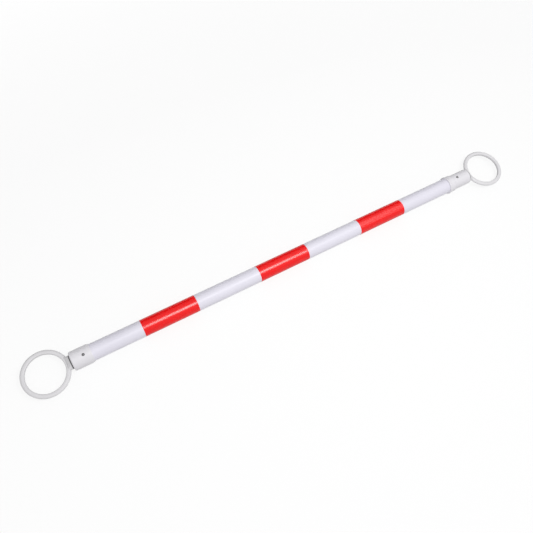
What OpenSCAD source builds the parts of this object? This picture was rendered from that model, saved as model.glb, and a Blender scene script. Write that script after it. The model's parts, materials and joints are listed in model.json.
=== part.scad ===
// Telescopic cone bar: a striped tube with a ring at each end that drops over the tip of a traffic cone.
// The bar lies along X with the fixed end at -X, both rings flat and the tubes closed. Z = 0 is the floor.

/* [Bar] */
// How far the inner tube slides out
travel = 800; // [600:5:1200]
// Room between the fixed socket's end wall and the lock with the bar closed
park_room = 66.5; // [36:0.1:100]

/* [Tubes] */
// Outside diameter of the outer tube
outer_d = 36; // [33:0.5:40]
// Wall of the outer tube
outer_wall = 1.5; // [1:0.1:2]
// Wall of the inner tube
inner_wall = 1.5; // [1:0.1:2]

/* [Red bands] */
// Length of each red film along the tube
band_len = 122; // [80:1:130]
// Thickness of the red film
band_film = 0.3; // [0.1:0.05:0.5]
// White tube between the fixed socket and the first band
band_start_gap = 108.5; // [60:0.5:120]
// White tube between the third band and the collar
band_end_gap = 137.5; // [60:0.5:150]
// How far the second band sits off the middle of the other two
band_2_shift = 4.5; // [-10:0.5:10]

/* [Rings] */
// Bore of a ring, which the cone's tip goes through
ring_bore = 78.5; // [70:0.5:90]
// Radial width of a ring
ring_width = 9.25; // [7:0.25:12]
// Height of a ring along its bore
ring_h = 8; // [6:0.5:12]
// Rounding of a ring's inner edges
ring_inner_round = 1.5; // [0.5:0.1:2]
// Rounding of a ring's outer edges
ring_outer_round = 2.5; // [1:0.1:2.5]
// Width of the neck that joins a ring to its stem
neck_w = 30; // [26:0.5:34]
// Height of the neck where it meets the friction washer
neck_h = 24; // [18:0.5:26]
// Length of the neck outside the ring
neck_reach = 2; // [0.5:0.1:4]

/* [Swivels] */
// Diameter of the stem that turns in the socket's end wall
stem_d = 14; // [11:0.5:16]
// Diameter of the rubber friction washer
friction_washer_d = 29; // [24:0.5:30]
// Thickness of the rubber friction washer
friction_washer_t = 2; // [1.5:0.1:4]
// Room around the steel washer on the stem's end, inside the inner tube
pivot_washer_room = 2.5; // [1:0.1:4]
// Thickness of the steel washer on the stem's end
pivot_washer_t = 1.5; // [1:0.1:2.5]
// Shank diameter of the screw in the stem
pivot_screw_d = 4.8; // [4:0.1:6]
// Shank length of the screw in the stem, washer included
pivot_screw_len = 13; // [10:0.5:15]

/* [Fixed socket] */
// Wall of the sleeve over the outer tube
fixed_socket_wall = 2.1; // [1.8:0.1:4]
// Length of the fixed socket
fixed_socket_len = 42; // [38:1:60]
// Length of its tapered inner end
fixed_socket_taper = 5.5; // [3:0.5:10]
// Wall left at the thin end of that taper
fixed_socket_lip = 0.6; // [0.4:0.1:1.5]
// Distance of its screw from the mouth
fixed_screw_at = 26; // [20:0.5:30]
// Angle of its screw from the top, towards the front
fixed_screw_roll = 7; // [-20:1:20]

/* [Sliding socket] */
// Wall of the sleeve over the inner tube
sliding_socket_wall = 2.8; // [2.5:0.1:4]
// Length of the sliding socket
sliding_socket_len = 46; // [42:1:75]
// Chamfer on its edge beside the collar
sliding_socket_chamfer = 0.8; // [0.3:0.1:1.5]
// Distance of its screw from the mouth
sliding_screw_at = 35; // [20:0.5:36]
// Angle of its screw from the top, towards the front
sliding_screw_roll = -6; // [-20:1:20]

/* [Both sockets] */
// Thickness of the end wall that the stem passes through
web_t = 6; // [4:0.5:8]
// Rounding of the outer edge at the mouth
mouth_round = 3; // [1:0.1:3.5]
// Shank diameter of the screws that hold the sockets on the tubes
screw_d = 2.9; // [2.5:0.1:4]
// Shank length of those screws
screw_len = 8; // [6:0.5:10]
// Head diameter of those screws
screw_head_d = 5.6; // [5:0.1:7]

/* [Rest] */
// Width of the flat that keeps the bar from rolling, under the slimmer of fixed socket and collar
rest_flat_w = 6; // [4:0.5:10]

/* [Collar and guide bush] */
// Wall of the collar over the end of the outer tube
collar_wall = 1.5; // [1.2:0.1:3]
// Length of the collar
collar_len = 18; // [12:0.5:24]
// Length of the raised rim at the collar's inner end
collar_rim_len = 4; // [3:0.5:8]
// How far that rim stands out from the rest of the collar
collar_rim_rise = 1.2; // [0.5:0.1:2]
// Thickness of the collar's end lip
collar_lip = 3; // [2:0.5:5]
// Rounding of the collar's outer edges
collar_round = 1; // [0.5:0.1:1.2]
// Gap between the collar and the sliding socket with the bar closed
closed_gap = 0.8; // [0.5:0.1:3]
// Wall of the bush that guides the inner tube
bush_wall = 1.45; // [1:0.05:2]
// Length of the bush
bush_len = 60; // [40:1:70]

/* [Twist lock] */
// Angle that the inner tube twists to lock
lock_twist = 60; // [30:5:90]
// Offset of the cam spigot from the bar's axis
cam_throw = 0.8; // [0.4:0.1:1]
// Thinnest wall of the lock ring
lock_wall = 4.2; // [3:0.1:5]
// Length of the lock ring
lock_ring_len = 22; // [15:1:30]
// Width of the split in the lock ring
lock_split = 3; // [2:0.5:5]
// Thickness of the plug's flange on the end of the inner tube
plug_flange = 2; // [1.5:0.1:4]
// Length of the plug inside the inner tube
plug_len = 26; // [18:1:40]
// How far the washer that keeps the lock ring on reaches over its end
lock_washer_reach = 1; // [0.5:0.1:2]
// Thickness of that washer
lock_washer_t = 1.5; // [1:0.1:2.5]
// Shank diameter of the screw that holds that washer
lock_screw_d = 4; // [3.5:0.1:5]
// Shank length of that screw, washer included
lock_screw_len = 18; // [14:1:22]

/* [Fits] */
// Radial clearance of the inner tube and the lock ring where they slide
slide_clear = 0.05; // [0.02:0.01:0.1]
// Radial clearance of a stem in its socket
pivot_clear = 0.05; // [0.02:0.01:0.1]
// Radial clearance of glued, pressed and screwed pieces
seat_clear = 0.02; // [0.01:0.01:0.05]
// End play between faces that turn or slide past each other
end_play = 0.3; // [0.2:0.05:0.5]
// Radial gap between the collar's lip and the inner tube
lip_clear = 0.4; // [0.2:0.1:0.6]

/* [Hidden] */
$fn = 96;
// How far a cutting shape runs past the face it cuts
cut = 1;

// Proportions of a pan-head screw with a cross recess
head_d_per_shank = 1.9;
head_h_per_shank = 0.7;
dome_share = 0.6;
recess_d_share = 0.6;
recess_w_share = 0.14;
recess_h_share = 0.45;

// Tube diameters, from the outside in
outer_bore = outer_d - 2 * outer_wall;
bush_bore = outer_bore - 2 * bush_wall;
inner_d = bush_bore - 2 * slide_clear;
inner_bore = inner_d - 2 * inner_wall;
pivot_washer_d = inner_bore - 2 * pivot_washer_room;

// Outside diameters of the sleeves, and the height of the bar's axis with its two rest flats on the floor
fixed_socket_d = outer_d + 2 * fixed_socket_wall;
collar_d = outer_d + 2 * collar_wall;
rim_d = collar_d + 2 * collar_rim_rise;
sliding_socket_d = inner_d + 2 * sliding_socket_wall;
rest_r = min(fixed_socket_d, rim_d) / 2;
axis_z = sqrt(pow(rest_r, 2) - pow(rest_flat_w / 2, 2));

// Places along the bar, measured from a ring's centre towards the middle of the bar
ring_r = ring_bore / 2 + ring_width;
neck_face = ring_r + neck_reach;
mouth = neck_face + friction_washer_t + end_play;
web_face = mouth + web_t;
stem_end = web_face + end_play;
pivot_washer_face = stem_end + pivot_washer_t;
fixed_socket_end = mouth + fixed_socket_len;
sliding_socket_end = mouth + sliding_socket_len;
collar_face = sliding_socket_end + closed_gap;
collar_end = collar_face + collar_len;
outer_end = collar_face + collar_lip;
bush_end = outer_end + bush_len;

// Ring centres of the closed bar: the lock, parked at the fixed end, has its whole travel ahead of it
lock_len = lock_washer_t + end_play + lock_ring_len;
ring_pitch = web_face + park_room + lock_len + travel + end_play + bush_end;

// Places along X: the lock ring is at its outer stop when the bar is fully drawn out
half_pitch = ring_pitch / 2;
outer_from = -half_pitch + web_face;
outer_to = half_pitch - outer_end;
lock_to = half_pitch - bush_end - end_play - travel;
lock_from = lock_to - lock_ring_len;
flange_from = lock_to + end_play;
inner_from = flange_from + plug_flange;
inner_to = half_pitch - web_face;
spigot_from = lock_from - end_play;
lock_washer_from = spigot_from - lock_washer_t;
band_1_from = -half_pitch + fixed_socket_end + band_start_gap;
band_3_from = half_pitch - collar_end - band_end_gap - band_len;
band_2_from = (band_1_from + band_3_from) / 2 + band_2_shift;

// Seats of the sleeve screws, whose heads are sunk by half
screw_head_h = screw_d * head_h_per_shank;
head_sink = screw_head_h / 2;
fixed_seat_r = fixed_socket_d / 2 - head_sink;
sliding_seat_r = sliding_socket_d / 2 - head_sink;

// The cam spigot has room for its whole twist inside the lock ring
lock_r = outer_bore / 2 - slide_clear;
lock_bore_r = lock_r - lock_wall - cam_throw;
spigot_r = lock_bore_r - 2 * cam_throw * sin(lock_twist / 2) - slide_clear;
lock_washer_d = 2 * (lock_bore_r + cam_throw + lock_washer_reach);

// A solid round bar along X
module rod(from, to, d) {
    translate([from, 0, 0]) rotate([0, 90, 0]) cylinder(d = d, h = to - from);
}

// A tube along X
module pipe(from, to, d, bore) {
    difference() {
        rod(from, to, d);
        rod(from - cut, to + cut, bore);
    }
}

// Turns an outline about X: its first coordinate is the radius, its second the place along X
module turned() {
    rotate([0, 90, 0]) rotate_extrude() children();
}

// Half outline of a solid sleeve with a round edge at its start
module round_start_outline(from, to, r, edge) {
    flat_r = r - edge;
    translate([0, from]) square([flat_r, to - from]);
    translate([0, from + edge]) square([r, to - from - edge]);
    translate([flat_r, from + edge]) circle(edge);
}

// The same with round edges at both ends
module round_ends_outline(from, to, r, edge) {
    intersection() {
        round_start_outline(from, to, r, edge);
        translate([0, from + to]) mirror([0, 1]) round_start_outline(from, to, r, edge);
    }
}

// Moves a piece to the height of the bar's axis
module on_axis() {
    translate([0, 0, axis_z]) children();
}

// What the floor takes off the underside of a sleeve around the axis
module floor_cut(from, to, d) {
    translate([from - cut, -d / 2, -axis_z - d]) cube([to - from + 2 * cut, d, d]);
}

// Puts a piece at an end of the bar, with its own X running from the ring's centre to the middle of the bar
module fixed_end() {
    translate([-half_pitch, 0, axis_z]) children();
}

module sliding_end() {
    translate([half_pitch, 0, axis_z]) mirror([1, 0, 0]) children();
}

// A pan-head screw that stands on Z = 0 with its shank below
module pan_screw(shank_d, shank_len, head_d, head_h) {
    dome_h = head_h * dome_share;
    dome_r = (pow(head_d / 2, 2) + pow(dome_h, 2)) / (2 * dome_h);
    recess = [head_d * recess_d_share, head_d * recess_w_share, head_h * recess_h_share];
    difference() {
        union() {
            translate([0, 0, -shank_len]) cylinder(d = shank_d, h = shank_len + head_h / 2);
            intersection() {
                cylinder(d = head_d, h = head_h);
                translate([0, 0, head_h - dome_r]) sphere(dome_r);
            }
        }
        for (turn = [0, 90])
            rotate(turn) translate([-recess.x / 2, -recess.y / 2, head_h - recess.z])
                cube([recess.x, recess.y, recess.z + cut]);
    }
}

// A pan-head screw for a washer, with its head in proportion to its shank
module washer_screw(shank_d, shank_len) {
    pan_screw(shank_d, shank_len, shank_d * head_d_per_shank, shank_d * head_h_per_shank);
}

// Puts a screw on a sleeve: at a place along X, rolled from the top towards the front, seated at a radius
module on_sleeve(at, roll, seat_r) {
    translate([at, 0, 0]) rotate([roll, 0, 0]) translate([0, 0, seat_r]) children();
}

// The hole of a sleeve screw, with a flat seat for its head
module sleeve_screw_hole() {
    translate([0, 0, -screw_len - cut]) cylinder(d = screw_d + 2 * seat_clear, h = screw_len + 2 * cut);
    cylinder(d = screw_head_d + 2 * end_play, h = screw_head_h + cut);
}

module fixed_screw_place() {
    on_sleeve(mouth + fixed_screw_at, fixed_screw_roll, fixed_seat_r) children();
}

module sliding_screw_place() {
    on_sleeve(mouth + sliding_screw_at, sliding_screw_roll, sliding_seat_r) children();
}

// Outer tube

module outer_tube() {
    color("ghostwhite") difference() {
        on_axis() pipe(outer_from, outer_to, outer_d, outer_bore);
        fixed_end() fixed_screw_place() sleeve_screw_hole();
    }
}

module red_band(from) {
    color("red") on_axis()
        pipe(from, from + band_len, outer_d + 2 * (seat_clear + band_film), outer_d + 2 * seat_clear);
}

// Fixed socket: a sleeve over the outer tube with an end wall for the ring's stem

module fixed_socket_outline() {
    round_to = mouth + mouth_round;
    taper_from = fixed_socket_end - fixed_socket_taper;
    round_start_outline(mouth, taper_from, fixed_socket_d / 2, mouth_round);
    polygon([
        [0, round_to], [fixed_socket_d / 2, round_to], [fixed_socket_d / 2, taper_from],
        [outer_d / 2 + fixed_socket_lip, fixed_socket_end], [0, fixed_socket_end]
    ]);
}

module fixed_socket() {
    color("whitesmoke") fixed_end() difference() {
        turned() fixed_socket_outline();
        rod(web_face, fixed_socket_end + cut, outer_d + 2 * seat_clear);
        rod(mouth - cut, web_face + cut, stem_d + 2 * pivot_clear);
        fixed_screw_place() sleeve_screw_hole();
        floor_cut(mouth, fixed_socket_end, fixed_socket_d);
    }
}

module fixed_socket_screw() {
    color("dimgray") fixed_end() fixed_screw_place()
        pan_screw(screw_d, screw_len, screw_head_d, screw_head_h);
}

// Mouth of the outer tube: a collar over it and a guide bush inside it

module collar_outline() {
    round_ends_outline(collar_face, collar_end, collar_d / 2, collar_round);
    round_ends_outline(collar_end - collar_rim_len, collar_end, rim_d / 2, collar_round);
}

module mouth_collar() {
    color("whitesmoke") sliding_end() difference() {
        turned() collar_outline();
        rod(outer_end, collar_end + cut, outer_d + 2 * seat_clear);
        rod(collar_face - cut, outer_end + cut, inner_d + 2 * lip_clear);
        floor_cut(collar_face, collar_end, rim_d);
    }
}

module guide_bush() {
    color("gainsboro") sliding_end() pipe(outer_end, bush_end, outer_bore - 2 * seat_clear, bush_bore);
}

// Rings: a hoop whose neck narrows to a round stem with a screw hole in its end

module hoop_outline() {
    inner_r = ring_bore / 2;
    translate([inner_r, ring_inner_round - ring_h / 2])
        square([ring_width / 2, ring_h - 2 * ring_inner_round]);
    translate([inner_r + ring_width / 2, ring_outer_round - ring_h / 2])
        square([ring_width / 2, ring_h - 2 * ring_outer_round]);
    translate([inner_r + ring_inner_round, -ring_h / 2])
        square([ring_width - ring_inner_round - ring_outer_round, ring_h]);
    for (side = [-1, 1]) {
        translate([inner_r + ring_inner_round, side * (ring_h / 2 - ring_inner_round)])
            circle(ring_inner_round);
        translate([ring_r - ring_outer_round, side * (ring_h / 2 - ring_outer_round)])
            circle(ring_outer_round);
    }
}

// Side view of the neck: it rises from the hoop's flat top to its full height at the friction washer
module neck_outline() {
    foot = ring_bore / 2 + ring_inner_round;
    polygon([
        [foot, -ring_h / 2], [neck_face, -neck_h / 2],
        [neck_face, neck_h / 2], [foot, ring_h / 2]
    ]);
}

module ring() {
    color("gainsboro") difference() {
        union() {
            rotate_extrude() hoop_outline();
            intersection() {
                rod(ring_bore / 2, neck_face, neck_w);
                rotate([90, 0, 0]) linear_extrude(neck_w, center = true) neck_outline();
            }
            rod(neck_face - cut, stem_end, stem_d);
        }
        rod(pivot_washer_face - pivot_screw_len - cut, stem_end + cut, pivot_screw_d + 2 * seat_clear);
    }
}

module friction_washer() {
    color("black")
        pipe(neck_face, neck_face + friction_washer_t, friction_washer_d, stem_d + 2 * seat_clear);
}

module pivot_washer() {
    color("silver") pipe(stem_end, pivot_washer_face, pivot_washer_d, pivot_screw_d + 2 * seat_clear);
}

module pivot_screw() {
    color("silver") translate([pivot_washer_face, 0, 0]) rotate([0, 90, 0])
        washer_screw(pivot_screw_d, pivot_screw_len);
}

// Twist lock: a split ring that slides with the inner tube and an eccentric spigot that turns inside it

module lock_ring() {
    color("dimgray") on_axis() difference() {
        rod(lock_from, lock_to, 2 * lock_r);
        translate([0, 0, cam_throw]) rod(lock_from - cut, lock_to + cut, 2 * lock_bore_r);
        translate([lock_from - cut, -lock_split / 2, -lock_r - cut])
            cube([lock_ring_len + 2 * cut, lock_split, lock_r]);
    }
}

module lock_plug() {
    color("dimgray") on_axis() difference() {
        union() {
            rod(flange_from, inner_from + plug_len, inner_bore - 2 * seat_clear);
            rod(flange_from, inner_from, inner_d);
            translate([0, 0, cam_throw]) rod(spigot_from, inner_from, 2 * spigot_r);
        }
        rod(spigot_from - cut, lock_washer_from + lock_screw_len + cut, lock_screw_d + 2 * seat_clear);
    }
}

module lock_washer() {
    color("silver") on_axis()
        pipe(lock_washer_from, spigot_from, lock_washer_d, lock_screw_d + 2 * seat_clear);
}

module lock_screw() {
    color("silver") on_axis() translate([lock_washer_from, 0, 0]) rotate([0, -90, 0])
        washer_screw(lock_screw_d, lock_screw_len);
}

// Inner tube and the socket on its outer end

module inner_tube() {
    color("ghostwhite") difference() {
        on_axis() pipe(inner_from, inner_to, inner_d, inner_bore);
        sliding_end() sliding_screw_place() sleeve_screw_hole();
    }
}

module sliding_socket_outline() {
    round_to = mouth + mouth_round;
    chamfer_from = sliding_socket_end - sliding_socket_chamfer;
    round_start_outline(mouth, chamfer_from, sliding_socket_d / 2, mouth_round);
    polygon([
        [0, round_to], [sliding_socket_d / 2, round_to], [sliding_socket_d / 2, chamfer_from],
        [sliding_socket_d / 2 - sliding_socket_chamfer, sliding_socket_end], [0, sliding_socket_end]
    ]);
}

module sliding_socket() {
    color("whitesmoke") sliding_end() difference() {
        turned() sliding_socket_outline();
        rod(web_face, sliding_socket_end + cut, inner_d + 2 * seat_clear);
        rod(mouth - cut, web_face + cut, stem_d + 2 * pivot_clear);
        sliding_screw_place() sleeve_screw_hole();
    }
}

module sliding_socket_screw() {
    color("dimgray") sliding_end() sliding_screw_place()
        pan_screw(screw_d, screw_len, screw_head_d, screw_head_h);
}

outer_tube();
red_band(band_1_from);  // red_band_1
red_band(band_2_from);  // red_band_2
red_band(band_3_from);  // red_band_3
fixed_socket();
fixed_socket_screw();
mouth_collar();
guide_bush();
fixed_end() ring();  // fixed_ring
fixed_end() friction_washer();  // fixed_friction_washer
fixed_end() pivot_washer();  // fixed_pivot_washer
fixed_end() pivot_screw();  // fixed_pivot_screw
lock_ring();
inner_tube();
lock_plug();
lock_washer();
lock_screw();
sliding_socket();
sliding_socket_screw();
sliding_end() ring();  // sliding_ring
sliding_end() friction_washer();  // sliding_friction_washer
sliding_end() pivot_washer();  // sliding_pivot_washer
sliding_end() pivot_screw();  // sliding_pivot_screw
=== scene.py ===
import json
import math

import bmesh
import bpy
from mathutils import Matrix, Quaternion, Vector


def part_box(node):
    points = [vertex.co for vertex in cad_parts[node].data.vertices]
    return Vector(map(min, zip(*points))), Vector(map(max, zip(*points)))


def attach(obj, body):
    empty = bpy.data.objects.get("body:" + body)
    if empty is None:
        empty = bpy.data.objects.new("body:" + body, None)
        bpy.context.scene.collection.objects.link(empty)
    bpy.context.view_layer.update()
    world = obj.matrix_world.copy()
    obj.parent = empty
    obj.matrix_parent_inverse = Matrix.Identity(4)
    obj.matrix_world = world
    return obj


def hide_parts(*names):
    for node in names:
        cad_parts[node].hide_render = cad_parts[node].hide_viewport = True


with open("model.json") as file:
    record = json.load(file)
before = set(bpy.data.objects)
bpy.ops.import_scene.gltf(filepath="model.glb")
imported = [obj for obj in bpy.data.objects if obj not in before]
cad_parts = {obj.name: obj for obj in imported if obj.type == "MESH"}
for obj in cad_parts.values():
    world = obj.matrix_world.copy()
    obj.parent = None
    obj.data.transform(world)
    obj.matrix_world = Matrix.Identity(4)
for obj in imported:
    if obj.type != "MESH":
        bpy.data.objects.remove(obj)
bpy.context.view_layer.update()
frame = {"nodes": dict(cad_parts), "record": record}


# Outer tube: a white plastic tube with a cool tint, drawn through a die, that carries every other piece.
# The die leaves faint lines along it, and handling leaves it a little uneven in gloss.
# Both of its cut ends are out of sight, in the fixed socket and in the collar.
tube_low, tube_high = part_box("outer_tube")
axis_z = (tube_low.z + tube_high.z) / 2
tube_r = (tube_high.y - tube_low.y) / 2
tube_wall = 0.0015
tube_edge = 0.0003
tube_white = (0.832, 0.814, 0.908)
die_lines_per_m = (3, 900, 900)
crisp_angle = math.radians(35)
weld = 1e-6


def turned(corners, closed=True, angle=math.tau, steps=144):
    """A shape turned about the bar's axis from an outline of (place along X, radius, rounding) corners."""
    bm = bmesh.new()
    verts = [bm.verts.new((x, 0, axis_z + radius)) for x, radius, _ in corners]
    for start, end in zip(verts, verts[1:]):
        bm.edges.new((start, end))
    if closed:
        bm.edges.new((verts[-1], verts[0]))
    for vert, (_, _, rounding) in zip(verts, corners):
        if rounding:
            bmesh.ops.bevel(bm, geom=[vert], offset=rounding, offset_type="OFFSET", segments=5,
                            profile=0.5, affect="VERTICES", material=-1)
    bmesh.ops.spin(bm, geom=bm.verts[:] + bm.edges[:], cent=(0, 0, axis_z), axis=(1, 0, 0),
                   angle=angle, steps=steps, use_merge=angle == math.tau)
    bmesh.ops.remove_doubles(bm, verts=bm.verts, dist=weld)
    open_ends = [edge for edge in bm.edges if edge.is_boundary]
    bmesh.ops.holes_fill(bm, edges=open_ends)
    bmesh.ops.recalc_face_normals(bm, faces=bm.faces)
    return bm


def cut_tube(low, high, radius, wall):
    """A length of tube with its cut edges broken."""
    return turned([
        (low.x, radius - wall, tube_edge), (low.x, radius, tube_edge),
        (high.x, radius, tube_edge), (high.x, radius - wall, tube_edge),
    ])


def finished(bm, name, material, body, node):
    """Makes a shape a piece of the bar that rides on a body and stands for a CAD node."""
    mesh = bpy.data.meshes.new(name)
    bm.to_mesh(mesh)
    bm.free()
    mesh.shade_smooth()
    mesh.set_sharp_from_angle(angle=crisp_angle)
    mesh.materials.append(material)
    piece = bpy.data.objects.new(name, mesh)
    bpy.context.scene.collection.objects.link(piece)
    even = piece.modifiers.new("even_shading", "WEIGHTED_NORMAL")
    even.keep_sharp = True
    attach(piece, body)
    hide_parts(node)
    return piece


def new_finish(name, roughness):
    """A material and its shader, with its usual roughness on the shader's own socket."""
    material = bpy.data.materials.new(name)
    material.use_nodes = True
    shader = material.node_tree.nodes["Principled BSDF"]
    shader.inputs["Roughness"].default_value = roughness
    return material, shader


def join(material, source, node, socket):
    """Links an output to another node's socket."""
    material.node_tree.links.new(source, node.inputs[socket])


def wire(material, kind, inputs, **options):
    """Adds a node to a material: inputs are values or other nodes' sockets, options are its own settings."""
    node = material.node_tree.nodes.new(kind)
    for option, value in options.items():
        setattr(node, option, value)
    for socket, value in inputs.items():
        if isinstance(value, bpy.types.NodeSocket):
            join(material, value, node, socket)
        else:
            node.inputs[socket].default_value = value
    return node.outputs[0]


def place_on(material, scale=(1, 1, 1)):
    """The place on the piece in metres, stretched by a scale along each axis."""
    spot = material.node_tree.nodes.new("ShaderNodeTexCoord").outputs["Object"]
    return wire(material, "ShaderNodeMapping", {"Vector": spot, "Scale": scale})


def noise(material, place, scale, detail):
    """Soft random patches from 0 to 1, about one over the scale in metres across."""
    return wire(material, "ShaderNodeTexNoise", {"Vector": place, "Scale": scale, "Detail": detail})


def spread(material, value, low, high, start=0.35, end=0.65):
    """Maps a value that runs from start to end to one that runs from low to high."""
    return wire(material, "ShaderNodeMapRange",
                {"Value": value, "From Min": start, "From Max": end, "To Min": low, "To Max": high})


def tinted(material, value, colour, dip, start=0.3, end=0.7):
    """A colour that dips towards a darker shade of itself where the value is low."""
    shade = [channel * (1 - dip) for channel in colour]
    ramp = material.node_tree.nodes.new("ShaderNodeValToRGB")
    ramp.color_ramp.elements[0].position = start
    ramp.color_ramp.elements[0].color = (*shade, 1)
    ramp.color_ramp.elements[1].position = end
    ramp.color_ramp.elements[1].color = (*colour, 1)
    join(material, value, ramp, "Fac")
    return ramp.outputs["Color"]


def raised(material, height, depth, strength):
    """A bump of a given depth in metres."""
    return wire(material, "ShaderNodeBump", {"Height": height, "Distance": depth, "Strength": strength})


def drawn_plastic(name, colour, gloss_low, gloss_high):
    """White tube plastic with die lines along X."""
    material, shader = new_finish(name, gloss_high)
    place = place_on(material)
    die_lines = noise(material, place_on(material, die_lines_per_m), scale=1, detail=3)
    clouds = noise(material, place, scale=16, detail=4)
    join(material, tinted(material, clouds, colour, dip=0.03), shader, "Base Color")
    join(material, spread(material, clouds, gloss_low, gloss_high), shader, "Roughness")
    join(material, raised(material, die_lines, depth=0.00002, strength=0.4), shader, "Normal")
    return material


tube_plastic = drawn_plastic("tube_white", tube_white, gloss_low=0.36, gloss_high=0.44)
finished(cut_tube(tube_low, tube_high, tube_r, tube_wall),
         "drawn_outer_tube", tube_plastic, "outer", "outer_tube")


# Red bands: three strips of glossy red reflective film, wrapped round the tube and lapped on the underside.
# Fine glass beads under a clear top layer give the film a grain that shows only from close by.
film_red = (0.95, 0.005, 0.006)
film_edge = 0.0001
film_sink = 0.00002
lap_w = 0.009
lap_roll = math.radians(150)
beads_per_m = 2400
sliver = 2e-6


def worked(stock, tool, operation):
    """Cuts a shape out of another, or joins it to the other, and merges what slivers that leaves."""
    solids = []
    for shape in (stock, tool):
        mesh = bpy.data.meshes.new("solid")
        shape.to_mesh(mesh)
        solids.append(bpy.data.objects.new("solid", mesh))
        bpy.context.scene.collection.objects.link(solids[-1])
    work = solids[0].modifiers.new("work", "BOOLEAN")
    work.operation = operation
    work.solver = "EXACT"
    work.object = solids[1]
    left = solids[0].evaluated_get(bpy.context.evaluated_depsgraph_get())
    stock.clear()
    stock.from_mesh(left.to_mesh())
    bmesh.ops.remove_doubles(stock, verts=stock.verts, dist=sliver)
    for solid in solids:
        bpy.data.objects.remove(solid)
    tool.free()


film, film_shader = new_finish("film_red", roughness=0.45)
film_place = place_on(film)
beads = wire(film, "ShaderNodeTexVoronoi", {"Vector": film_place, "Scale": beads_per_m})
film_clouds = noise(film, film_place, scale=40, detail=3)
film_grain = wire(film, "ShaderNodeMath", {0: film_clouds, 1: beads}, operation="ADD")
film_shade = spread(film, film_grain, low=0, high=1, start=0.6, end=1.2)
join(film, tinted(film, film_shade, film_red, dip=0.05), film_shader, "Base Color")
join(film, raised(film, beads, depth=0.00001, strength=0.15), film_shader, "Normal")
film_shader.inputs["Specular IOR Level"].default_value = 0.05
film_shader.inputs["Coat Weight"].default_value = 0.55
film_shader.inputs["Coat Roughness"].default_value = 0.22

films = bpy.data.collections.new("films")
for band in ("red_band_1", "red_band_2", "red_band_3"):
    band_low, band_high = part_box(band)
    film_r = (band_high.y - band_low.y) / 2
    film_t = film_r - tube_r
    lap_r = film_r - film_sink
    wrap = turned([
        (band_low.x, tube_r, 0), (band_low.x, film_r, film_edge),
        (band_high.x, film_r, film_edge), (band_high.x, tube_r, 0),
    ])
    lap = turned([
        (band_low.x, lap_r, 0), (band_low.x, lap_r + film_t, film_edge),
        (band_high.x, lap_r + film_t, film_edge), (band_high.x, lap_r, 0),
    ], angle=lap_w / film_r, steps=12)
    bmesh.ops.rotate(lap, verts=lap.verts, cent=(0, 0, axis_z), matrix=Matrix.Rotation(lap_roll, 3, "X"))
    worked(wrap, lap, "UNION")
    piece = finished(wrap, band.replace("red_band", "wrapped_film"), film, "outer", band)
    films.objects.link(piece)


# Fixed socket: a satin white moulding pushed over the tube's end and held by one sunk screw.
# Its mouth is well rounded, its inner end tapers to the tube, and the mould left a line along each side.
# Its top has a round seat for the screw's head, and a narrow flat underneath keeps the bar from rolling.
socket_white = (0.84, 0.825, 0.865)
stem_bore_r = 0.00705
web_t = 0.006
mouth_round = 0.003
bore_round = 0.0004
shoulder_round = 0.001
lip_round = 0.0002
socket_fit = 0.00002
floor_z = 0
fixed_taper = 0.0055
fixed_lip = 0.0006
parting_w = 0.00015
grain_share = 0.4
gloss_play = 0.05
screw_shank_r = 0.00145
screw_len = 0.008
screw_head_r = 0.0028
screw_head_h = 0.00203
seat_gap = 0.0003
seat_chamfer = 0.00025
fixed_screw_roll = math.radians(7)


def moulded_plastic(name, colour, gloss):
    """Satin moulded plastic with a fine grain and the mould's parting line at the height of the axis."""
    material, shader = new_finish(name, gloss)
    place = place_on(material)
    grain = noise(material, place, scale=1500, detail=2)
    clouds = noise(material, place, scale=30, detail=4)
    height = wire(material, "ShaderNodeSeparateXYZ", {"Vector": place}).node.outputs["Z"]
    off_line = wire(material, "ShaderNodeMath", {0: height, 1: axis_z}, operation="SUBTRACT")
    off_line = wire(material, "ShaderNodeMath", {0: off_line}, operation="ABSOLUTE")
    parting = spread(material, off_line, low=1, high=0, start=0, end=parting_w)
    relief = wire(material, "ShaderNodeMath", {0: grain, 1: grain_share, 2: parting},
                  operation="MULTIPLY_ADD")
    satin = spread(material, grain, gloss - gloss_play, gloss + gloss_play)
    join(material, tinted(material, clouds, colour, dip=0.04), shader, "Base Color")
    join(material, satin, shader, "Roughness")
    join(material, raised(material, relief, depth=0.00006, strength=0.5), shader, "Normal")
    return material


def rest_flat(bm):
    """Takes off what lies below the floor."""
    bmesh.ops.bisect_plane(bm, geom=bm.verts[:] + bm.edges[:] + bm.faces[:],
                           plane_co=(0, 0, floor_z), plane_no=(0, 0, -1), clear_outer=True)
    bmesh.ops.holes_fill(bm, edges=[edge for edge in bm.edges if edge.is_boundary])
    bmesh.ops.recalc_face_normals(bm, faces=bm.faces)


def on_sleeve(bm, at_x, roll, seat_r):
    """Stands a shape that was turned along X on a sleeve, rolled from the top towards the front."""
    upright = Matrix.Translation((0, 0, -axis_z))
    upright = Matrix.Rotation(-math.pi / 2, 4, "Y") @ upright
    upright = Matrix.Translation((0, 0, seat_r)) @ upright
    upright = Matrix.Rotation(roll, 4, "X") @ upright
    bmesh.ops.transform(bm, matrix=Matrix.Translation((at_x, 0, axis_z)) @ upright, verts=bm.verts)


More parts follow.
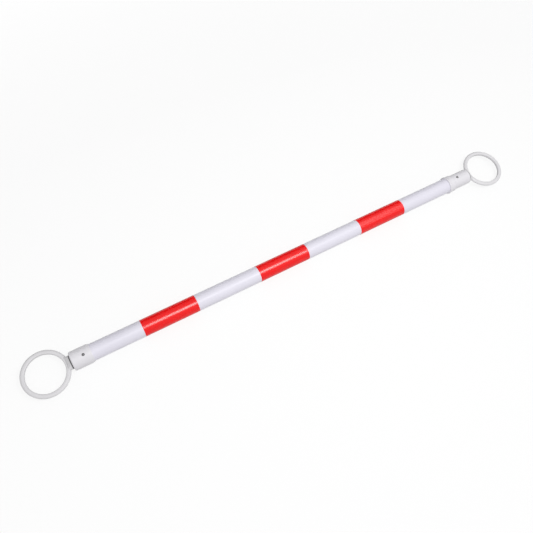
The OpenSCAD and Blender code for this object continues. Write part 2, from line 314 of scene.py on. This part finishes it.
def screw_seat(at_x, roll, seat_r, sleeve_r):
    """The hole of a sleeve screw, flared where it meets the sleeve."""
    seat_wall = screw_head_r + seat_gap
    skin = sleeve_r - seat_r
    tool = turned([
        (-screw_len, 0, 0), (-screw_len, screw_shank_r, 0), (0, screw_shank_r, 0), (0, seat_wall, 0),
        (skin - seat_chamfer, seat_wall, 0), (skin + seat_chamfer, seat_wall + 2 * seat_chamfer, 0),
        (skin + screw_head_h, seat_wall + 2 * seat_chamfer, 0), (skin + screw_head_h, 0, 0),
    ], closed=False, steps=48)
    on_sleeve(tool, at_x, roll, seat_r)
    return tool


socket_plastic = moulded_plastic("socket_white", socket_white, gloss=0.48)
fixed_low, fixed_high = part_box("fixed_socket")
fixed_r = (fixed_high.y - fixed_low.y) / 2
fixed_socket = turned([
    (fixed_low.x, stem_bore_r, bore_round), (fixed_low.x, fixed_r, mouth_round),
    (fixed_high.x - fixed_taper, fixed_r, shoulder_round), (fixed_high.x, tube_r + fixed_lip, lip_round),
    (fixed_high.x, tube_r + socket_fit, 0), (fixed_low.x + web_t, tube_r + socket_fit, 0),
    (fixed_low.x + web_t, stem_bore_r, 0),
])
rest_flat(fixed_socket)
fixed_screw_low, fixed_screw_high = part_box("fixed_socket_screw")
fixed_screw_x = (fixed_screw_low.x + fixed_screw_high.x) / 2
fixed_seat_r = fixed_r - screw_head_h / 2
fixed_seat = screw_seat(fixed_screw_x, fixed_screw_roll, fixed_seat_r, fixed_r)
worked(fixed_socket, fixed_seat, "DIFFERENCE")
finished(fixed_socket, "moulded_fixed_socket", socket_plastic, "outer", "fixed_socket")


# Sleeve screws: small pan-head screws of blackened steel, with a cross recess.
# One goes through each socket into its tube, and its head is sunk by half in a seat a little wider than it.
screw_black = (0.22, 0.217, 0.223)
screw_tip_round = 0.0006
head_foot_round = 0.0002
head_side_h = screw_head_h / 2
head_side_round = 0.0006
head_top_r = screw_head_r / 2
head_top_round = 0.0008
recess_l = 0.00336
recess_w = 0.00078
recess_h = 0.00091


def sleeve_screw(at_x, roll, seat_r):
    """A pan-head screw with its cross recess."""
    screw = turned([
        (-screw_len, 0, 0), (-screw_len, screw_shank_r, screw_tip_round), (0, screw_shank_r, 0),
        (0, screw_head_r, head_foot_round), (head_side_h, screw_head_r, head_side_round),
        (screw_head_h, head_top_r, head_top_round), (screw_head_h, 0, 0),
    ], closed=False, steps=64)
    cross = bmesh.new()
    bmesh.ops.create_cube(cross, size=1)
    bmesh.ops.scale(cross, vec=(2 * recess_h, recess_w, recess_w), verts=cross.verts)
    cross.normal_update()
    sides = [face for face in cross.faces if abs(face.normal.x) < weld]
    for side in sides:
        reach = side.normal * (recess_l - recess_w) / 2
        arm = bmesh.ops.extrude_discrete_faces(cross, faces=[side])["faces"][0]
        bmesh.ops.translate(cross, vec=reach, verts=arm.verts)
    bmesh.ops.translate(cross, vec=(screw_head_h, 0, axis_z), verts=cross.verts)
    worked(screw, cross, "DIFFERENCE")
    on_sleeve(screw, at_x, roll, seat_r)
    return screw


def worn(material, shader, pattern, colour, dip, gloss_low, gloss_high, depth, strength):
    """Lets one pattern vary the colour, the gloss and the relief of a finish."""
    join(material, tinted(material, pattern, colour, dip), shader, "Base Color")
    join(material, spread(material, pattern, gloss_low, gloss_high), shader, "Roughness")
    join(material, raised(material, pattern, depth, strength), shader, "Normal")


blackened, blackened_shader = new_finish("black_screw", roughness=0.42)
blackened_spots = noise(blackened, place_on(blackened), scale=1800, detail=3)
worn(blackened, blackened_shader, blackened_spots, screw_black, dip=0.4,
     gloss_low=0.34, gloss_high=0.5, depth=0.00002, strength=0.3)
blackened_shader.inputs["Metallic"].default_value = 0.6
finished(sleeve_screw(fixed_screw_x, fixed_screw_roll, fixed_seat_r),
         "fixed_sleeve_screw", blackened, "outer", "fixed_socket_screw")


# Mouth collar: a thin satin white moulding pushed over the open end of the outer tube.
# It has a raised rim at its inner end, with the bar's second rest flat underneath.
# Its lip closes the tube's end down to the inner tube.
collar_low, collar_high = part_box("mouth_collar")
rim_r = (collar_high.y - collar_low.y) / 2
rim_rise = 0.0012
rim_len = 0.004
rim_round = 0.0008
rim_foot = 0.0003
collar_r = rim_r - rim_rise
collar_round = 0.001
collar_lip_r = 0.0154
collar = turned([
    (collar_high.x, collar_lip_r, bore_round), (collar_high.x, collar_r, collar_round),
    (collar_low.x + rim_len, collar_r, rim_foot), (collar_low.x + rim_len, rim_r, rim_round),
    (collar_low.x, rim_r, rim_round), (collar_low.x, tube_r + socket_fit, lip_round),
    (tube_high.x, tube_r + socket_fit, 0), (tube_high.x, collar_lip_r, lip_round),
])
rest_flat(collar)
finished(collar, "moulded_collar", socket_plastic, "outer", "mouth_collar")


# Guide bush: a plain grey plastic bearing pressed into the mouth of the outer tube, behind the collar.
# It is turned to size, which leaves fine rings round it.
bush_grey = (0.6, 0.6, 0.61)
bush_rings_per_m = (2500, 4, 4)


def dress(node, material):
    """Gives a CAD node a new material."""
    shown = frame["nodes"][node]
    shown.data.materials.clear()
    shown.data.materials.append(material)


bush, bush_shader = new_finish("bush_grey", roughness=0.42)
bush_rings = noise(bush, place_on(bush, bush_rings_per_m), scale=1, detail=2)
worn(bush, bush_shader, bush_rings, bush_grey, dip=0.06,
     gloss_low=0.36, gloss_high=0.48, depth=0.00001, strength=0.3)
dress("guide_bush", bush)


# Rings: one hoop at each end, moulded with its neck and stem in plastic of a greyer white than the sockets.
# The hoop has softly rounded edges. The neck rises out of it to a flattened round face against the washer.
# The stem runs through the socket's end wall, so the ring swivels about the bar.
mounts = {mount["name"]: mount for mount in frame["record"]["mounts"]}
mm = 0.001
ring_white = (0.785, 0.775, 0.795)
ring_h = 0.008
ring_inner_round = 0.0015
ring_outer_round = 0.0025
neck_w = 0.03
neck_columns = 3
neck_corner = math.radians(60)
face_crease = 0.8
foot_crease = 0.7
facing_end = 0.9
same_turn = 1e-4
stem_r = 0.007
stem_root = 0.001
stem_chamfer = 0.0008


def ring_hoop(bore_r, outer_r):
    """The coarse cage of a hoop, turned about Z, with a column of points on each edge of the neck."""
    bm = bmesh.new()
    half = ring_h / 2
    flat_r = (bore_r + ring_inner_round + outer_r - ring_outer_round) / 2
    upper = [
        (bore_r, half - ring_inner_round), (bore_r + ring_inner_round, half), (flat_r, half),
        (outer_r - ring_outer_round, half), (outer_r, half - ring_outer_round),
    ]
    lower = [(radius, -height) for radius, height in reversed(upper)]
    outline = [(bore_r, 0), *upper, (outer_r, 0), *lower]
    verts = [bm.verts.new((radius, 0, height)) for radius, height in outline]
    for start, end in zip(verts, verts[1:] + verts[:1]):
        bm.edges.new((start, end))
    steps = round(math.tau * neck_columns / math.asin(neck_w / 2 / outer_r))
    bmesh.ops.spin(bm, geom=bm.verts[:] + bm.edges[:], cent=(0, 0, 0), axis=(0, 0, 1),
                   angle=math.tau, steps=steps, use_merge=True)
    bmesh.ops.remove_doubles(bm, verts=bm.verts, dist=weld)
    bmesh.ops.recalc_face_normals(bm, faces=bm.faces)
    return bm, flat_r, neck_columns * math.tau / steps


def draw_out_neck(bm, flat_r, neck_turn, outer_r, neck_face, neck_h):
    """Draws the outer side of the hoop out to the neck's face, towards +X."""
    faces = []
    for face in bm.faces:
        middle = face.calc_center_median()
        if abs(math.atan2(middle.y, middle.x)) < neck_turn and middle.xy.length > flat_r:
            faces.append(face)
    drawn = bmesh.ops.extrude_face_region(bm, geom=faces)["geom"]
    verts = [part for part in drawn if isinstance(part, bmesh.types.BMVert)]
    bmesh.ops.delete(bm, geom=faces, context="FACES")
    foot = flat_r - ring_outer_round
    for vert in verts:
        across = math.atan2(vert.co.y, vert.co.x) / neck_turn
        side = math.copysign(1, vert.co.z)
        rim_y = neck_w / 2 * math.sin(across * neck_corner)
        rim_z = side * min(neck_h / 2, neck_w / 2 * math.cos(across * neck_corner))
        if abs(vert.co.z) < weld:
            vert.co = (neck_face, across * neck_w / 2, 0)
        elif vert.co.xy.length > outer_r - ring_outer_round / 2:
            vert.co = (neck_face, rim_y, rim_z)
        else:
            rise = (vert.co.x - foot) / (neck_face - foot)
            vert.co = vert.co.lerp(Vector((vert.co.x, rim_y, rim_z)), rise)
    crease = bm.edges.layers.float.new("crease_edge")
    for edge in bm.edges:
        flush = all(abs(vert.co.x - neck_face) < weld for vert in edge.verts)
        if flush and any(abs(face.normal.x) < facing_end for face in edge.link_faces):
            edge[crease] = face_crease
        turns = [abs(math.atan2(vert.co.y, vert.co.x)) for vert in edge.verts]
        at_foot = all(abs(turn - neck_turn) < same_turn for turn in turns)
        if at_foot and all(vert.co.xy.length > flat_r + weld for vert in edge.verts):
            edge[crease] = foot_crease
    bm.normal_update()


def smoothed(bm, levels):
    """Rounds a cage by subdivision."""
    cage = bpy.data.objects.new("cage", bpy.data.meshes.new("cage"))
    bm.to_mesh(cage.data)
    bpy.context.scene.collection.objects.link(cage)
    smooth = cage.modifiers.new("smooth", "SUBSURF")
    smooth.levels = smooth.render_levels = levels
    shown = cage.evaluated_get(bpy.context.evaluated_depsgraph_get())
    bm.clear()
    bm.from_mesh(shown.to_mesh())
    bpy.data.objects.remove(cage)


def moulded_ring(name, node, mount, washer, body):
    """A ring with its neck and stem, its neck against its washer."""
    low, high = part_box(node)
    washer_low, washer_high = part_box(washer)
    centre = Vector(mounts[mount]["pos_m"])
    bore_r = mounts[mount]["dims"]["r_mm"] * mm
    outer_r = (high.y - low.y) / 2
    neck_face = min(abs(washer_low.x - centre.x), abs(washer_high.x - centre.x))
    stem_end = max(abs(low.x - centre.x), abs(high.x - centre.x))
    bm, flat_r, neck_turn = ring_hoop(bore_r, outer_r)
    draw_out_neck(bm, flat_r, neck_turn, outer_r, neck_face, high.z - low.z)
    smoothed(bm, levels=2)
    stem_from = neck_face - stem_root
    along = Matrix.Translation(((stem_from + stem_end) / 2, 0, 0)) @ Matrix.Rotation(math.pi / 2, 4, "Y")
    stem = bmesh.new()
    bmesh.ops.create_cone(stem, cap_ends=True, segments=64, radius1=stem_r, radius2=stem_r,
                          depth=stem_end - stem_from, matrix=along)
    tip = [edge for edge in stem.edges if all(abs(end.co.x - stem_end) < weld for end in edge.verts)]
    bmesh.ops.bevel(stem, geom=tip, offset=stem_chamfer, segments=2, profile=0.5,
                    affect="EDGES", material=-1)
    worked(bm, stem, "UNION")
    if centre.x > 0:
        bmesh.ops.rotate(bm, verts=bm.verts, cent=(0, 0, 0), matrix=Matrix.Rotation(math.pi, 3, "Z"))
    bmesh.ops.translate(bm, vec=centre, verts=bm.verts)
    finished(bm, name, ring_plastic, body, node)


ring_plastic = moulded_plastic("ring_white", ring_white, gloss=0.5)
moulded_ring("moulded_fixed_ring", "fixed_ring", "fixed_ring_bore", "fixed_friction_washer", "fixed_ring")


# Friction washers: black rubber discs on the rings' stems, between each neck and its socket.
# They hold a ring as it is turned. Their edges are soft, and the rubber is matt and greyed by dust.
rubber_black = (0.2, 0.197, 0.203)
rubber_round = 0.0007

rubber, rubber_shader = new_finish("black_rubber", roughness=0.8)
rubber_dust = noise(rubber, place_on(rubber), scale=700, detail=4)
worn(rubber, rubber_shader, rubber_dust, rubber_black, dip=0.5,
     gloss_low=0.7, gloss_high=0.9, depth=0.00003, strength=0.4)


def rubber_washer(name, node, body):
    """A rubber washer on a ring's stem."""
    low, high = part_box(node)
    washer_r = (high.y - low.y) / 2
    washer = turned([
        (low.x, stem_r, 0), (low.x, washer_r, rubber_round),
        (high.x, washer_r, rubber_round), (high.x, stem_r, 0),
    ], steps=96)
    finished(washer, name, rubber, body, node)


rubber_washer("fixed_rubber_washer", "fixed_friction_washer", "fixed_ring")


# Pivot washers and screws: plated steel inside the sockets, where they hold each stem in its end wall.
# The plating is bright with a fine brushed grain. The lock's own washer and screw are the same.
steel_grey = (0.56, 0.57, 0.58)
brushing_per_m = (900, 4000, 900)

steel, steel_shader = new_finish("plated_steel", roughness=0.3)
brushing = noise(steel, place_on(steel, brushing_per_m), scale=1, detail=3)
worn(steel, steel_shader, brushing, steel_grey, dip=0.1,
     gloss_low=0.22, gloss_high=0.38, depth=0.00001, strength=0.2)
steel_shader.inputs["Metallic"].default_value = 1
for steel_node in ("fixed_pivot_washer", "fixed_pivot_screw", "sliding_pivot_washer", "sliding_pivot_screw",
                   "lock_washer", "lock_screw"):
    dress(steel_node, steel)


# Twist lock: a split ring on an eccentric plug, both of dark moulded plastic, inside the outer tube.
# The plug is pressed into the inner tube's end. Sliding in the tube has rubbed faint streaks along them.
lock_grey = (0.16, 0.16, 0.17)
rubbing_per_m = (40, 900, 900)

lock, lock_shader = new_finish("lock_grey", roughness=0.5)
rubbing = noise(lock, place_on(lock, rubbing_per_m), scale=1, detail=3)
worn(lock, lock_shader, rubbing, lock_grey, dip=0.2,
     gloss_low=0.42, gloss_high=0.6, depth=0.00002, strength=0.3)
for lock_node in ("lock_ring", "lock_plug"):
    dress(lock_node, lock)


# Inner tube: the same white plastic in the next size down, which slides in the guide bush.
# It is a little duller than the outer tube, from rubbing in the bush.
inner_low, inner_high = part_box("inner_tube")
inner_r = (inner_high.y - inner_low.y) / 2
inner_wall = 0.0015
inner_plastic = drawn_plastic("inner_tube_white", tube_white, gloss_low=0.4, gloss_high=0.54)
finished(cut_tube(inner_low, inner_high, inner_r, inner_wall),
         "drawn_inner_tube", inner_plastic, "inner", "inner_tube")


# Sliding socket: the slim satin white moulding on the inner tube's outer end, held by its own sunk screw.
# Its edge is eased beside the collar, and its mouth at the ring is as round as the fixed socket's.
sliding_low, sliding_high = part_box("sliding_socket")
sliding_r = (sliding_high.y - sliding_low.y) / 2
sliding_edge = 0.0008
sliding_screw_roll = math.radians(-6)
sliding_socket = turned([
    (sliding_high.x, stem_bore_r, bore_round), (sliding_high.x, sliding_r, mouth_round),
    (sliding_low.x, sliding_r, sliding_edge), (sliding_low.x, inner_r + socket_fit, lip_round),
    (sliding_high.x - web_t, inner_r + socket_fit, 0), (sliding_high.x - web_t, stem_bore_r, 0),
])
sliding_screw_low, sliding_screw_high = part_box("sliding_socket_screw")
sliding_screw_x = (sliding_screw_low.x + sliding_screw_high.x) / 2
sliding_seat_r = sliding_r - screw_head_h / 2
sliding_seat = screw_seat(sliding_screw_x, sliding_screw_roll, sliding_seat_r, sliding_r)
worked(sliding_socket, sliding_seat, "DIFFERENCE")
finished(sliding_socket, "moulded_sliding_socket", socket_plastic, "inner", "sliding_socket")
finished(sleeve_screw(sliding_screw_x, sliding_screw_roll, sliding_seat_r),
         "sliding_sleeve_screw", blackened, "inner", "sliding_socket_screw")


# Sliding ring: the twin of the fixed ring, facing the other way, with its own rubber washer.
# It swivels on the sliding socket and travels with the inner tube.
moulded_ring("moulded_sliding_ring", "sliding_ring", "sliding_ring_bore", "sliding_friction_washer",
             "sliding_ring")
rubber_washer("sliding_rubber_washer", "sliding_friction_washer", "sliding_ring")


# Floor and background: a plain white room with a pale floor that takes a light shadow round the bar.
# The floor is clear to the camera but for that shadow, so a ring that is turned down through it still shows.
# The room is white to the camera and in reflections, and it and the floor light the bar at their own level.
floor_size = 12
floor_albedo = 0.6
shadow_share = 0.15
shadow_reach = (2.4, 1, 1)
world_light = 0.5
white = (1, 1, 1, 1)


def seen_directly(material):
    """One where the ray comes from the camera, a reflection or a transmission, and nought elsewhere."""
    rays = material.node_tree.nodes.new("ShaderNodeLightPath").outputs
    seen = wire(material, "ShaderNodeMath", {0: rays["Is Camera Ray"], 1: rays["Is Glossy Ray"]},
                operation="MAXIMUM")
    return wire(material, "ShaderNodeMath", {0: seen, 1: rays["Is Transmission Ray"]}, operation="MAXIMUM")


white_floor = bpy.data.materials.new("white_floor")
white_floor.use_nodes = True
white_floor.node_tree.nodes.clear()
lit = wire(white_floor, "ShaderNodeBsdfDiffuse", {"Color": (floor_albedo, floor_albedo, floor_albedo, 1)})
shaded = wire(white_floor, "ShaderNodeBsdfDiffuse", {"Color": white})
clear = wire(white_floor, "ShaderNodeBsdfTransparent", {"Color": white})
near_bar = wire(white_floor, "ShaderNodeTexGradient",
                {"Vector": place_on(white_floor, [1 / reach for reach in shadow_reach])},
                gradient_type="SPHERICAL").node.outputs["Fac"]
shadow = spread(white_floor, near_bar, low=0, high=shadow_share, start=0, end=0.5)
shown_floor = wire(white_floor, "ShaderNodeMixShader", {0: shadow, 1: clear, 2: shaded})
either = wire(white_floor, "ShaderNodeMixShader", {0: seen_directly(white_floor), 1: lit, 2: shown_floor})
floor_output = white_floor.node_tree.nodes.new("ShaderNodeOutputMaterial")
join(white_floor, either, floor_output, "Surface")


def staged(bm, name, material):
    """Makes a shape an object of its own, carried by no body of the bar."""
    mesh = bpy.data.meshes.new(name)
    bm.to_mesh(mesh)
    bm.free()
    mesh.materials.append(material)
    prop = bpy.data.objects.new(name, mesh)
    bpy.context.scene.collection.objects.link(prop)
    return prop


floor_bm = bmesh.new()
bmesh.ops.create_grid(floor_bm, x_segments=1, y_segments=1, size=floor_size / 2)
staged(floor_bm, "floor", white_floor)

world = bpy.data.worlds.new("white_room")
bpy.context.scene.world = world
world.use_nodes = True
surround = world.node_tree.nodes["Background"]
surround.inputs["Color"].default_value = white
surround_light = wire(world, "ShaderNodeMapRange", {"Value": seen_directly(world), "To Min": world_light})
join(world, surround_light, surround, "Strength")


# Lamps: a long soft box above the bar lights it, and two weak ones fill its ends.
# Two more only show in the glossy films: they draw the streak on two bands and the sheen on the third.
# A dark card out of view behind the bar keeps its back edge darker.
key_at = Vector((0.2, -0.4, axis_z + 1.6))
key_size = (1, 0.25)
key_watts = 12
near_at = Vector((-0.95, -0.5, 1.4))
near_size = (0.8, 0.6)
near_watts = 2.4
far_at = Vector((0.95, 0.1, 1.4))
far_size = (0.8, 1.6)
far_watts = 1.7
streak_size = (1, 0.8)
streak_watts = 28
sheen_at = Vector((1.15, -0.4, axis_z + 1.6))
sheen_size = (0.6, 2.3)
sheen_watts = 11
card_y = 1
card_w = 5
card_h = 0.65
card_grey = (0.1, 0.1, 0.1, 1)


def soft_box(name, at, size, watts):
    """A rectangular lamp that faces the nearest point of the bar's axis."""
    lamp = bpy.data.lights.new(name, "AREA")
    lamp.shape = "RECTANGLE"
    lamp.size, lamp.size_y = size
    lamp.energy = watts
    box = bpy.data.objects.new(name, lamp)
    box.location = at
    box.rotation_mode = "QUATERNION"
    box.rotation_quaternion = (Vector((at.x, 0, axis_z)) - at).to_track_quat("-Z", "Y")
    box.visible_camera = False
    bpy.context.scene.collection.objects.link(box)
    return box


soft_box("key_box", key_at, key_size, key_watts)
soft_box("near_box", near_at, near_size, near_watts)
soft_box("far_box", far_at, far_size, far_watts)
streak_box = soft_box("streak_box", key_at, streak_size, streak_watts)
sheen_box = soft_box("sheen_box", sheen_at, sheen_size, sheen_watts)
for film_box in (streak_box, sheen_box):
    film_box.visible_diffuse = False
    film_box.light_linking.receiver_collection = films

card_paint, card_shader = new_finish("card_grey", roughness=0.5)
card_shader.inputs["Base Color"].default_value = card_grey
card_shader.inputs["Specular IOR Level"].default_value = 0
card_bm = bmesh.new()
card_place = Matrix.Translation((0, card_y, card_h / 2)) @ Matrix.Rotation(math.pi / 2, 4, "X")
bmesh.ops.create_grid(card_bm, x_segments=1, y_segments=1, size=0.5,
                      matrix=card_place @ Matrix.Diagonal((card_w, card_h, 1, 1)))
card = staged(card_bm, "dark_card", card_paint)
card.visible_camera = False


# Camera: high in front of the fixed end, turned so that the bar runs from lower left to upper right.
# Its place, aim, roll and lens follow the outlines of both rings and of the tube in the photograph.
camera_at = Vector((-0.40825, -0.35523, axis_z + 1.15667))
camera_aim = Vector((-0.0569, 0.0075, axis_z))
camera_roll = math.radians(16.47)
camera_lens = 38.845
camera_sensor = 36

lens = bpy.data.cameras.new("camera")
lens.lens = camera_lens
lens.sensor_width = camera_sensor
camera = bpy.data.objects.new("camera", lens)
camera.location = camera_at
camera.rotation_mode = "QUATERNION"
facing = (camera_aim - camera_at).to_track_quat("-Z", "Y")
camera.rotation_quaternion = facing @ Quaternion((0, 0, 1), camera_roll)
bpy.context.scene.collection.objects.link(camera)
bpy.context.scene.camera = camera
bpy.context.scene.view_settings.view_transform = "Standard"
